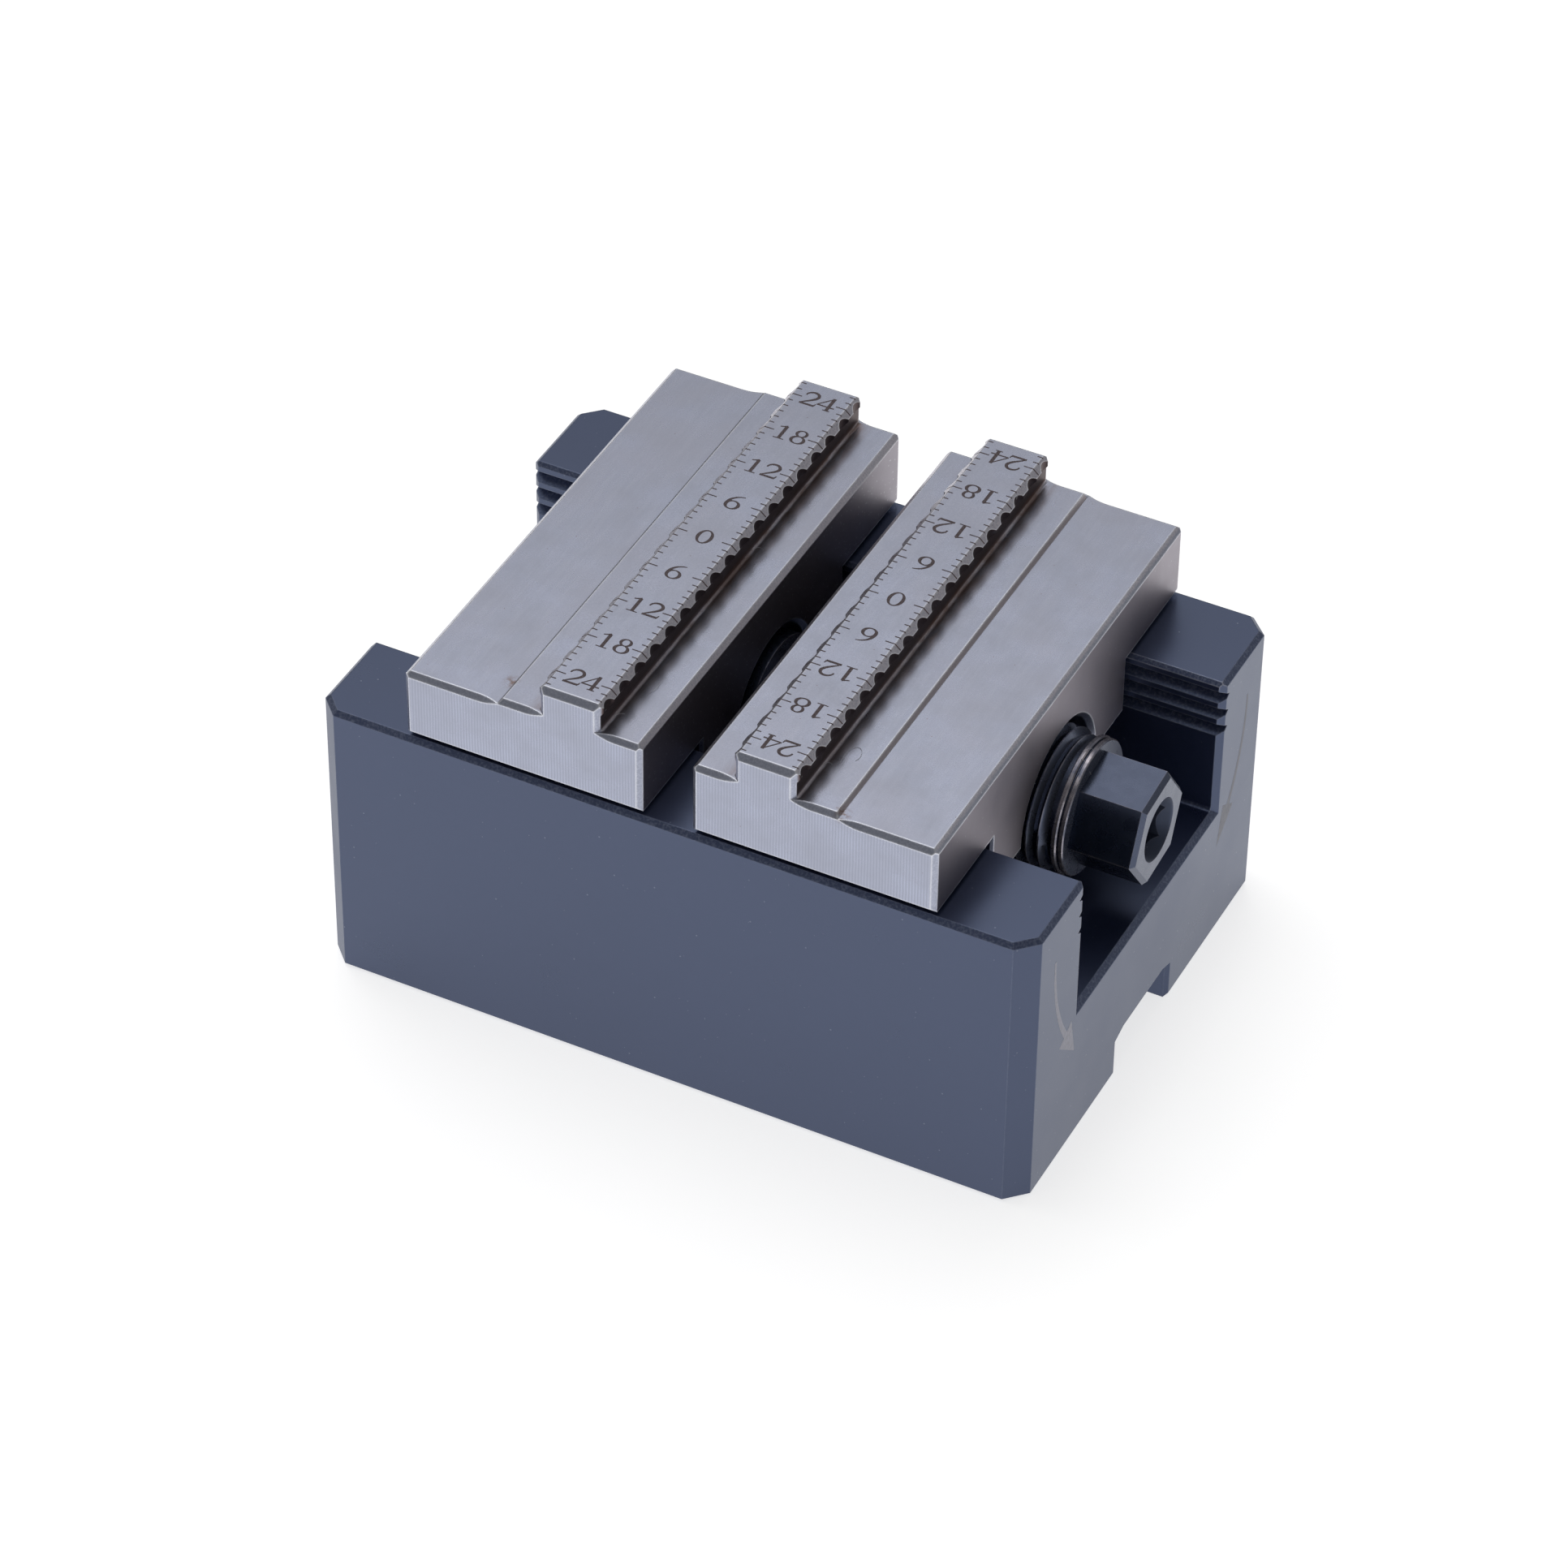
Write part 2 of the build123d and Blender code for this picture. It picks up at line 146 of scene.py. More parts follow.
def ramp(tree, value, low, high, to_low=0.0, to_high=1.0):
    """Value spread from low..high to to_low..to_high, clamped."""
    made = add_node(tree, "ShaderNodeMapRange")
    made.inputs["From Min"].default_value = low
    made.inputs["From Max"].default_value = high
    made.inputs["To Min"].default_value = to_low
    made.inputs["To Max"].default_value = to_high
    tree.links.new(value, made.inputs["Value"])
    return made.outputs[0]

def split_rays(tree):
    """Light Path's outputs, and one for the rays that see plain white, also through something clear."""
    ray = add_node(tree, "ShaderNodeLightPath").outputs
    return ray, maths(tree, "MAXIMUM", ray["Is Camera Ray"], ray["Is Transmission Ray"])

world = bpy.data.worlds.new("studio")
scene.world = world
world.use_nodes = True
tree = world.node_tree
tree.nodes.clear()
direction = add_node(tree, "ShaderNodeTexCoord")
across, along, height = axes(tree, direction.outputs["Generated"])
in_box = product(tree, ramp(tree, across, *box_right_edge), ramp(tree, along, *box_front_edge),
                 ramp(tree, height, *box_low_edge), ramp(tree, height, *box_middle_fade))
box_glow = ramp(tree, in_box, 0.0, 1.0, surround_level, box_level)
front_glow = product(tree, ramp(tree, along, *front_band_start),
                     ramp(tree, height, *front_band_height, 0.0, front_band_level))
side_glow = product(tree, ramp(tree, across, *side_band_right_edge),
                    ramp(tree, along, *side_band_back_edge),
                    ramp(tree, height, *side_band_height, 0.0, side_band_level))
glow = maths(tree, "MAXIMUM", maths(tree, "MAXIMUM", box_glow, front_glow), side_glow)
ray, plain = split_rays(tree)
strength = total(tree, plain, product(tree, inverse(tree, plain), glow))
sky = add_node(tree, "ShaderNodeBackground", Color=(1, 1, 1, 1))
tree.links.new(strength, sky.inputs["Strength"])
out = add_node(tree, "ShaderNodeOutputWorld")
tree.links.new(sky.outputs[0], out.inputs["Surface"])

floor_mesh = bpy.data.meshes.new("floor")
half = floor_size / 2
floor_mesh.from_pydata([(-half, -half, 0), (half, -half, 0), (half, half, 0), (-half, half, 0)], [],
                       [(0, 1, 2, 3)])
floor = bpy.data.objects.new("floor", floor_mesh)
scene.collection.objects.link(floor)
floor_paper = bpy.data.materials.new("floor_paper")
floor_paper.use_nodes = True
tree = floor_paper.node_tree
paper = tree.nodes["Principled BSDF"]
paper.inputs["Base Color"].default_value = (floor_tone, floor_tone, floor_tone, 1)
paper.inputs["Roughness"].default_value = floor_roughness
paper.inputs["Specular IOR Level"].default_value = floor_specular
paper.inputs["Emission Color"].default_value = (1, 1, 1, 1)
ray, plain = split_rays(tree)
glow = maths(tree, "MAXIMUM", product(tree, plain, floor_glow),
             product(tree, ray["Is Glossy Ray"], floor_shine))
tree.links.new(glow, paper.inputs["Emission Strength"])
floor_mesh.materials.append(floor_paper)

lamp_data = bpy.data.lights.new("soft_box", "AREA")
lamp_data.size = soft_box_size
lamp_data.energy = soft_box_power
lamp = bpy.data.objects.new("soft_box", lamp_data)
lamp.location = soft_box_side * soft_box_away
lamp.rotation_mode = "QUATERNION"
lamp.rotation_quaternion = soft_box_side.to_track_quat("Z", "Y")
scene.collection.objects.link(lamp)


# Body. One milled block of tool steel with the channel for the jaws, blackened all over in a hot
# oxide bath, so its edges and chamfers rub through to lighter metal first. Here and below, a pair
# says where a mask starts and where it is whole, in millimetres or in how far a face looks one way.
oxide_tone = (0.015, 0.020, 0.047, 1)
oxide_cloud_tone = (0.022, 0.028, 0.060, 1)
oxide_tint = (0.52, 0.64, 1.0, 1)
oxide_ior = 2.15
oxide_roughness = (0.27, 0.33)
rubbed_tone = (0.32, 0.34, 0.41, 1)
scraped_tone = (0.60, 0.60, 0.66, 1)
scraped_edge_y = 15.7
scraped_reach = (0.75, 0.6)
scraped_start = (24.0, 26.0)
scraped_height = (31.3, 31.6)
dust_tone = (0.30, 0.31, 0.35, 1)
chamfer_roughness = 0.08
square_facing = (0.90, 0.97)
upward_facing = (0.2, 0.4)
corner_shade = (0.75, 0.35)
edge_samples = 8
rounding_samples = 6

def new_group(name, inputs, outputs):
    """An empty shader group with float inputs given as name and value, and float outputs."""
    group = bpy.data.node_groups.new(name, "ShaderNodeTree")
    for label, value in inputs.items():
        socket = group.interface.new_socket(label, in_out="INPUT", socket_type="NodeSocketFloat")
        socket.default_value = value
    for label in outputs:
        group.interface.new_socket(label, in_out="OUTPUT", socket_type="NodeSocketFloat")
    return group, group.nodes.new("NodeGroupInput"), group.nodes.new("NodeGroupOutput")

def object_mm(tree):
    """Object coordinates in millimetres."""
    coordinates = add_node(tree, "ShaderNodeTexCoord")
    scaled = add_node(tree, "ShaderNodeVectorMath", operation="SCALE")
    scaled.inputs["Scale"].default_value = 1 / mm
    tree.links.new(coordinates.outputs["Object"], scaled.inputs[0])
    return scaled.outputs[0]

def face_direction(tree):
    """The three parts of the surface's direction on the piece."""
    return axes(tree, add_node(tree, "ShaderNodeTexCoord").outputs["Normal"])

def magnitude(tree, value):
    """A value without its sign."""
    return maths(tree, "ABSOLUTE", value)

def near_line(tree, value, place, reach, full):
    """Mask about one place on an axis: nothing from reach outwards, whole from full inwards."""
    return ramp(tree, magnitude(tree, maths(tree, "SUBTRACT", value, place)), reach, full)

def noise(tree, vector, per_mm, detail, roughness=0.6):
    """Noise from 0 to 1 over a vector in millimetres."""
    made = add_node(tree, "ShaderNodeTexNoise", Scale=per_mm, Detail=detail, Roughness=roughness)
    tree.links.new(vector, made.inputs["Vector"])
    return made.outputs["Fac"]

def blotches(tree, vector, per_mm, detail, low, high, roughness=0.6):
    """Noise whose part from low to high is spread from 0 to 1."""
    return ramp(tree, noise(tree, vector, per_mm, detail, roughness), low, high)

def stretched(tree, vector, scales):
    """A vector scaled by a different number on each axis."""
    made = add_node(tree, "ShaderNodeVectorMath", operation="MULTIPLY")
    made.inputs[1].default_value = scales
    tree.links.new(vector, made.inputs[0])
    return made.outputs[0]

def blend_colour(tree, amount, first, second):
    """Mix of two colours, each a socket or a plain colour, by a socket from 0 to 1."""
    made = add_node(tree, "ShaderNodeMix", data_type="RGBA")
    tree.links.new(amount, made.inputs["Factor"])
    for index, value in ((6, first), (7, second)):
        if isinstance(value, tuple):
            made.inputs[index].default_value = value
        else:
            tree.links.new(value, made.inputs[index])
    return made.outputs[2]

def painted(tree, tone, colour, *masks, share=1.0):
    """A tone with a colour over it, as strong as the masks and the share multiplied together."""
    return blend_colour(tree, product(tree, *masks, share), tone, colour)

def make_edge_wear_group():
    """Masks of the outer edges and of the inner corners, broken up by noise."""
    group, given, result = new_group(
        "edge_wear", {"Reach mm": 0.25, "Gain": 3.0, "Patchiness": 0.5, "Corner reach mm": 0.8},
        ("Worn edge", "Inner corner"))
    vector = object_mm(group)
    inside = add_node(group, "ShaderNodeAmbientOcclusion", inside=True, only_local=True,
                      samples=edge_samples)
    group.links.new(product(group, given.outputs["Reach mm"], mm), inside.inputs["Distance"])
    blocked = inverse(group, inside.outputs["AO"])
    open_edge = maths(group, "MULTIPLY", blocked, given.outputs["Gain"], clamp=True)
    patches = blotches(group, vector, per_mm=0.9, detail=4.0, low=0.35, high=0.62)
    kept = inverse(group, product(group, given.outputs["Patchiness"], inverse(group, patches)))
    group.links.new(product(group, open_edge, kept), result.inputs["Worn edge"])
    outside = add_node(group, "ShaderNodeAmbientOcclusion", only_local=True, samples=edge_samples)
    group.links.new(product(group, given.outputs["Corner reach mm"], mm), outside.inputs["Distance"])
    group.links.new(ramp(group, outside.outputs["AO"], *corner_shade), result.inputs["Inner corner"])
    return group

def make_specks_group():
    """Small separate specks of lint, dust or pits."""
    group, given, result = new_group("specks", {"Per mm": 0.8, "Size": 0.1, "Share": 0.4}, ("Mask",))
    vector = object_mm(group)
    cells = add_node(group, "ShaderNodeTexVoronoi", feature="F1")
    group.links.new(vector, cells.inputs["Vector"])
    group.links.new(given.outputs["Per mm"], cells.inputs["Scale"])
    spot = maths(group, "LESS_THAN", cells.outputs["Distance"], given.outputs["Size"])
    pick = add_node(group, "ShaderNodeSeparateColor")
    group.links.new(cells.outputs["Color"], pick.inputs[0])
    chosen = maths(group, "LESS_THAN", pick.outputs[0], given.outputs["Share"])
    group.links.new(product(group, spot, chosen), result.inputs["Mask"])
    return group

edge_wear = make_edge_wear_group()
specks = make_specks_group()

def place_group(tree, group, **values):
    """A group placed in a material with its own values."""
    made = add_node(tree, "ShaderNodeGroup", node_tree=group)
    for name, value in values.items():
        made.inputs[name.replace("_", " ")].default_value = value
    return made

def new_material(name, metallic, ior=1.5):
    """A node material and its Principled shader."""
    made = bpy.data.materials.new(name)
    made.use_nodes = True
    shader = made.node_tree.nodes["Principled BSDF"]
    shader.inputs["Metallic"].default_value = metallic
    shader.inputs["IOR"].default_value = ior
    return made, made.node_tree, shader

def add_bump(tree, shader, height, strength, distance, edge_radius=0.0):
    """Bump from a height into a shader's normal, with edges that look rounded if a radius is given."""
    bump = add_node(tree, "ShaderNodeBump")
    bump.inputs["Strength"].default_value = strength
    bump.inputs["Distance"].default_value = distance
    tree.links.new(height, bump.inputs["Height"])
    if edge_radius > 0:
        edge = add_node(tree, "ShaderNodeBevel", samples=rounding_samples, Radius=edge_radius)
        tree.links.new(edge.outputs[0], bump.inputs["Normal"])
    tree.links.new(bump.outputs[0], shader.inputs["Normal"])

def square_to(tree, part):
    """Mask of the faces square to one axis, from that part of their direction."""
    return ramp(tree, magnitude(tree, part), *square_facing)

def slanted(tree, direction):
    """Mask of the faces square to no axis, which are the chamfers."""
    square = square_to(tree, direction[0])
    for part in direction[1:]:
        square = maths(tree, "MAXIMUM", square, square_to(tree, part))
    return inverse(tree, square)

def make_black_oxide():
    """Satin blackened steel with faint clouds, fine specks and rubbed edges."""
    material, tree, shader = new_material("black_oxide", metallic=0.0, ior=oxide_ior)
    vector = object_mm(tree)
    x, y, z = axes(tree, vector)
    direction = face_direction(tree)
    chamfer = slanted(tree, direction)
    clouds = blotches(tree, vector, per_mm=0.12, detail=5.0, low=0.3, high=0.7)
    tone = blend_colour(tree, clouds, oxide_tone, oxide_cloud_tone)

    rubbed = blotches(tree, vector, per_mm=4.0, detail=3.0, low=0.45, high=0.75)
    upward = ramp(tree, direction[2], *upward_facing)
    tone = painted(tree, tone, rubbed_tone, chamfer, upward, rubbed, share=0.35)
    wear = place_group(tree, edge_wear, Reach_mm=0.14, Gain=3.0, Patchiness=0.5).outputs["Worn edge"]
    tone = painted(tree, tone, rubbed_tone, wear, share=0.7)
    tone = painted(tree, tone, scraped_tone, wear, near_line(tree, y, scraped_edge_y, *scraped_reach),
                   ramp(tree, x, *scraped_start), ramp(tree, z, *scraped_height))
    dust = place_group(tree, specks, Per_mm=0.7, Size=0.06, Share=0.30)
    fine_dust = place_group(tree, specks, Per_mm=2.2, Size=0.10, Share=0.06)
    dusty = maths(tree, "MAXIMUM", dust.outputs[0], fine_dust.outputs[0])
    tone = painted(tree, tone, dust_tone, dusty, share=0.5)
    tree.links.new(tone, shader.inputs["Base Color"])

    rough = total(tree, ramp(tree, clouds, 0, 1, *oxide_roughness),
                  product(tree, chamfer, chamfer_roughness))
    tree.links.new(rough, shader.inputs["Roughness"])
    shader.inputs["Specular Tint"].default_value = oxide_tint
    grain = noise(tree, vector, per_mm=7.0, detail=3.0)
    add_bump(tree, shader, grain, strength=0.10, distance=0.02 * mm, edge_radius=0.14 * mm)
    return material

black_oxide = make_black_oxide()

def dress(node_name, material):
    """One material on all of a CAD node."""
    mesh = nodes[node_name].data
    mesh.materials.clear()
    mesh.materials.append(material)

dress("body", black_oxide)


# Arrows. Two pale marks burnt by laser into the end face, one on each side of the channel, which
# show the way the spindle is turned.
arrow_radius = 21.7 * mm
arrow_start, arrow_end = radians(-1.0), radians(31.0)
arrow_thin, arrow_thick = 0.18 * mm, 0.36 * mm
arrow_steps = 24
arrow_head_half = 1.48 * mm
arrow_head_length = 4.3 * mm
arrow_tip_half = arrow_thin / 4
mark_lift = 0.006 * mm
arrow_head_lift = mark_lift * 0.8
mark_depth = 0.05 * mm
mark_roughness = (0.60, 0.45)
arrow_mark_tone = (0.47, 0.47, 0.57, 1)
arrow_mark_bare_tone = (0.32, 0.32, 0.40, 1)
arrow_fading = (-5.0, 5.0, 0.0, 0.7)

spindle_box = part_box("spindle")
spindle_axis_z = (spindle_box[0].z + spindle_box[1].z) / 2

def add_slab(mesh, line, to_space, closed=False, lift=mark_lift):
    """A thin closed slab along a line of (across, up, half width), set into a flat surface."""
    count = len(line)
    rings = []
    for index, (across, along, half_width) in enumerate(line):
        before = line[(index - 1) % count] if closed or index > 0 else line[index]
        after = line[(index + 1) % count] if closed or index < count - 1 else line[index]
        run = Vector((after[0] - before[0], after[1] - before[1])).normalized()
        side = Vector((-run.y, run.x)) * half_width
        ring = []
        for sign, depth in ((1, lift), (-1, lift), (-1, -mark_depth), (1, -mark_depth)):
            ring.append(mesh.verts.new(to_space(across + sign * side.x, along + sign * side.y, depth)))
        rings.append(ring)
    for index in range(count if closed else count - 1):
        here, there = rings[index], rings[(index + 1) % count]
        for corner in range(4):
            nearby = (corner + 1) % 4
            mesh.faces.new((here[corner], here[nearby], there[nearby], there[corner]))
    if not closed:
        mesh.faces.new(rings[0][::-1])
        mesh.faces.new(rings[-1])

def finish_mesh(mesh, name, material):
    """A named object at the origin from a finished bmesh, its faces turned outwards."""
    bmesh.ops.recalc_face_normals(mesh, faces=mesh.faces)
    data = bpy.data.meshes.new(name)
    mesh.to_mesh(data)
    mesh.free()
    data.materials.append(material)
    made = bpy.data.objects.new(name, data)
    scene.collection.objects.link(made)
    return made

def make_mark_material(name, tone, bare_tone, patches_per_mm, ior=1.5, fading=None):
    """A dull laser mark, uneven where the beam burnt less; fading thins it out along Y."""
    material, tree, shader = new_material(name, metallic=0.0, ior=ior)
    vector = object_mm(tree)
    patches = blotches(tree, vector, patches_per_mm, detail=4.0, low=0.40, high=0.68)
    burnt = blend_colour(tree, patches, tone, bare_tone)
    if fading is not None:
        burnt = painted(tree, burnt, oxide_cloud_tone, ramp(tree, axes(tree, vector)[1], *fading))
    tree.links.new(burnt, shader.inputs["Base Color"])
    tree.links.new(ramp(tree, patches, 0, 1, *mark_roughness), shader.inputs["Roughness"])
    return material

def make_arrows():
    """Both arrows, curved about the spindle's axis."""
    end_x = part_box("body")[1].x
    heading = Vector((-sin(arrow_end), -cos(arrow_end)))
    mesh = bmesh.new()
    for side in (-1, 1):
        def to_space(out_y, z, depth):
            return Vector((end_x + depth, side * out_y, z))
        line = []
        for step in range(arrow_steps + 1):
            part = step / arrow_steps
            angle = arrow_start + (arrow_end - arrow_start) * part
            half_width = arrow_thin + (arrow_thick - arrow_thin) * part
            out_y, z = arrow_radius * cos(angle), spindle_axis_z - arrow_radius * sin(angle)
            line.append((out_y, z, half_width))
        add_slab(mesh, line, to_space)
        foot_y, foot_z = line[-1][:2]
        tip_y, tip_z = foot_y + heading.x * arrow_head_length, foot_z + heading.y * arrow_head_length
        head = ((foot_y, foot_z, arrow_head_half), (tip_y, tip_z, arrow_tip_half))
        add_slab(mesh, head, to_space, lift=arrow_head_lift)
    return mesh

arrow_mark = make_mark_material("arrow_mark", arrow_mark_tone, arrow_mark_bare_tone, patches_per_mm=2.0,
                                ior=oxide_ior, fading=arrow_fading)
arrows = finish_mesh(make_arrows(), "turning_arrows", arrow_mark)
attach(arrows, "vise_body")


# Jaws. Two hardened steel plates, ground on top and on their shelves, milled on their ends, with
# a toothed rib along the middle. Dirt and a brown tint stay in the teeth. Rust and painted shade
# darken the rib's foot and the step, and the chamfers that face sideways carry a painted sheen.
steel_tone = (0.425, 0.45, 0.56, 1)
steel_cloud_tone = (0.37, 0.385, 0.465, 1)
steel_pale_tone = (0.50, 0.52, 0.61, 1)
steel_edge_tone = (0.95, 0.96, 1.0, 1)
steel_dark_tone = (0.29, 0.31, 0.385, 1)
steel_warm_tone = (0.41, 0.41, 0.48, 1)
lip_sheen_tone = (0.66, 0.62, 0.67, 1)
tooth_tone = (0.105, 0.078, 0.078, 1)
rust_tone = (0.19, 0.115, 0.085, 1)
side_tone = (0.335, 0.297, 0.320, 1)
step_rust_and_shade_tone = (0.36, 0.31, 0.32, 1)
steel_roughness = (0.25, 0.31)
side_roughness = 0.18
dirt_roughness = 0.12
milling_pitch = 0.30
milling_drift = 2.5
rib_middle = 10.1
milling_relief = 1.1
grinding_stretch = (12.0, 0.3, 12.0)
streak_stretch = (2.2, 0.22, 2.2)
smear_stretch = (0.9, 0.20, 0.9)
chamfer_relief = 1.5
rib_cut_end = 26.5
inside_ends_start = (rib_cut_end + 0.05, rib_cut_end - 0.10)
shelf_height = 40.7
tooth_cover = (0.15, 0.45, 0.75, 1.0)
tooth_start = (shelf_height + 0.15, shelf_height + 0.55)
tooth_facing = (0.45, 0.15)
lip_start = (shelf_height - 0.8, shelf_height - 0.6)
lip_facing = (0.3, 0.5)
lip_sheen_strength = (0.0, 1.0, 0.45, 0.9)
step_middle = 17.5
step_reach = (0.5, 0.3)
step_rust_and_shade_strength = (-1.0, 1.0, 0.3, 0.7)
outer_edge_start = (20.0, 21.0)
corner_dirt_and_shade_end = (15.9, 15.4)
foot_dirt_and_shade_reach = (4.9, 3.5)
foot_dirt_and_shade_bottom = (40.0, 40.2)
foot_dirt_and_shade_top = (shelf_height + 0.75, shelf_height + 0.35)
foot_dirt_and_shade_strength = (-26.0, 0.0, 0.4, 0.8)
rust_places = ((17.64, -26.1, 40.25), (-17.9, -23.6, 40.3))
rust_reach = 1.1

def near_places(tree, vector, places, reach):
    """Mask of round spots about some places, in millimetres."""
    nearest = None
    for spot in places:
        away = add_node(tree, "ShaderNodeVectorMath", operation="DISTANCE")
        away.inputs[1].default_value = spot
        tree.links.new(vector, away.inputs[0])
        fall = ramp(tree, away.outputs["Value"], reach, 0.0)
        nearest = fall if nearest is None else maths(tree, "MAXIMUM", nearest, fall)
    return nearest

def make_ground_steel():
    """Satin ground steel: brushed tops, milled ends, grainy chamfers and dirty teeth."""
    material, tree, shader = new_material("ground_steel", metallic=1.0)
    vector = object_mm(tree)
    x, y, z = axes(tree, vector)
    direction = face_direction(tree)
    on_top = ramp(tree, direction[2], *square_facing)
    on_end = square_to(tree, direction[1])
    on_side = square_to(tree, direction[0])
    chamfer = slanted(tree, direction)
    from_middle = magnitude(tree, x)
    inside_ends = ramp(tree, magnitude(tree, y), *inside_ends_start)

    clouds = blotches(tree, vector, per_mm=0.22, detail=6.0, low=0.32, high=0.70, roughness=0.62)
    tone = blend_colour(tree, clouds, steel_tone, steel_cloud_tone)
    along_jaw = stretched(tree, vector, streak_stretch)
    streaks = blotches(tree, along_jaw, per_mm=1.0, detail=4.0, low=0.45, high=0.75)
    tone = painted(tree, tone, steel_pale_tone, streaks, on_top, share=0.35)
    mottle = blotches(tree, vector, per_mm=3.2, detail=3.0, low=0.35, high=0.7)
    tone = painted(tree, tone, steel_cloud_tone, mottle, share=0.12)
    warm = blotches(tree, vector, per_mm=0.10, detail=4.0, low=0.42, high=0.62)
    tone = painted(tree, tone, steel_warm_tone, warm, on_top, share=0.4)
    grain = blotches(tree, vector, per_mm=8.0, detail=2.0, low=0.35, high=0.65, roughness=0.7)
    tone = painted(tree, tone, steel_dark_tone, grain, on_top, share=0.38)

    drift = product(tree, noise(tree, vector, per_mm=0.5, detail=2.0), milling_drift)
    phase = total(tree, product(tree, x, 2 * pi / milling_pitch), drift)
    mill_wave = ramp(tree, maths(tree, "SINE", phase), -1.0, 1.0)
    tone = painted(tree, tone, steel_dark_tone, mill_wave, on_end, share=0.6)

    grit = blotches(tree, vector, per_mm=5.5, detail=3.0, low=0.42, high=0.62, roughness=0.7)
    tone = painted(tree, tone, steel_pale_tone, chamfer, grit, share=0.6)
    tone = painted(tree, tone, steel_dark_tone, chamfer, inverse(tree, grit), share=0.4)
    tone = painted(tree, tone, side_tone, on_side, share=0.8)
    # Chamfers high on the jaw that face sideways are painted paler, unevenly with the grit: a painted
    # sheen.
    lip_sheen = product(tree, chamfer, inside_ends, ramp(tree, magnitude(tree, direction[0]), *lip_facing),
                  ramp(tree, z, *lip_start))
    tone = painted(tree, tone, lip_sheen_tone, lip_sheen, ramp(tree, grit, *lip_sheen_strength))
    # The step's chamfers on the outer shelf are painted dark brown, more on the right jaw: light rust
    # and painted shade.
    step = product(tree, chamfer, inside_ends, near_line(tree, from_middle, step_middle, *step_reach))
    tone = painted(tree, tone, step_rust_and_shade_tone, step, ramp(tree, x, *step_rust_and_shade_strength))
    outer_edge = product(tree, chamfer, inside_ends, ramp(tree, from_middle, *outer_edge_start))
    flecks = place_group(tree, specks, Per_mm=1.9, Size=0.15, Share=0.35).outputs[0]
    tone = painted(tree, tone, steel_edge_tone, flecks, maths(tree, "MAXIMUM", on_side, outer_edge),
                   share=0.35)
    wear = place_group(tree, edge_wear, Reach_mm=0.22, Gain=5.0, Patchiness=0.25, Corner_reach_mm=0.9)
    tone = painted(tree, tone, steel_edge_tone, wear.outputs["Worn edge"], share=0.75)

    upright = product(tree, ramp(tree, direction[2], *tooth_facing), inside_ends)
    tooth_patches = ramp(tree, noise(tree, vector, per_mm=0.8, detail=4.0), *tooth_cover)
    tone = painted(tree, tone, tooth_tone, ramp(tree, z, *tooth_start), upright, tooth_patches)
    # Inner corners near the rib, found by occlusion, are painted rust-brown in patches: rust and painted
    # shade.
    corner_patches = blotches(tree, vector, per_mm=0.7, detail=5.0, low=0.38, high=0.66, roughness=0.65)
    tone = painted(tree, tone, rust_tone, wear.outputs["Inner corner"], corner_patches,
                   ramp(tree, from_middle, *corner_dirt_and_shade_end), share=0.75)
    # Along the rib's foot the shelf is painted darker and browner in streaks, more towards the back:
    # rust and painted shade from the wall.
    along_rib = stretched(tree, vector, smear_stretch)
    smears = blotches(tree, along_rib, per_mm=1.0, detail=5.0, low=0.34, high=0.58, roughness=0.65)
    foot_dirt_and_shade = product(tree, smears, near_line(tree, from_middle, rib_middle, *foot_dirt_and_shade_reach), inside_ends,
                   ramp(tree, z, *foot_dirt_and_shade_bottom), ramp(tree, z, *foot_dirt_and_shade_top),
                   ramp(tree, y, *foot_dirt_and_shade_strength))
    tone = painted(tree, tone, rust_tone, foot_dirt_and_shade)
    pitted = blotches(tree, vector, per_mm=2.4, detail=4.0, low=0.40, high=0.60)
    tone = painted(tree, tone, rust_tone, near_places(tree, vector, rust_places, rust_reach), pitted)
    dust = place_group(tree, specks, Per_mm=1.3, Size=0.07, Share=0.10)
    tone = painted(tree, tone, rust_tone, dust.outputs[0], share=0.6)
    tree.links.new(tone, shader.inputs["Base Color"])

    rough = total(tree, ramp(tree, clouds, 0, 1, *steel_roughness),
                  product(tree, chamfer, chamfer_roughness), product(tree, on_side, side_roughness),
                  product(tree, foot_dirt_and_shade, dirt_roughness))
    tree.links.new(rough, shader.inputs["Roughness"])
    lines = noise(tree, stretched(tree, vector, grinding_stretch), per_mm=1.0, detail=2.0)
    grainy = total(tree, product(tree, chamfer, chamfer_relief), on_side)
    height = total(tree, product(tree, lines, on_top), product(tree, mill_wave, on_end, milling_relief),
                   product(tree, grit, grainy))
    add_bump(tree, shader, height, strength=0.16, distance=0.012 * mm, edge_radius=0.15 * mm)
    return material

ground_steel = make_ground_steel()
dress("left_jaw", ground_steel)
dress("right_jaw", ground_steel)


# Scale. A millimetre scale burnt by laser into the top of both ribs, from the middle outwards: a
# tick every millimetre along both edges, a long one with its number every six. Strokes that cross
# lie on slightly different levels, so that no two faces share one.
scale_ticks = 53
scale_pitch = 1.0 * mm
numbered_every = 6
short_tick = 0.50 * mm
long_tick = 1.0 * mm
short_over_edge = 0.15 * mm
long_over_edge = 0.80 * mm
tick_width = 0.14 * mm
rib_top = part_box("left_jaw")[1].z
rib_centre = rib_middle * mm
rib_half_top = 2.85 * mm
lip_angle = atan2(0.6, 0.65)
digit_height = 2.20 * mm
digit_units_high = 2.05
digit_spacing = 1.85 * mm
stroke_layers = 5
stroke_layer_step = mark_lift / 12
scale_mark_tone = (0.066, 0.043, 0.047, 1)
scale_mark_bare_tone = (0.13, 0.095, 0.105, 1)

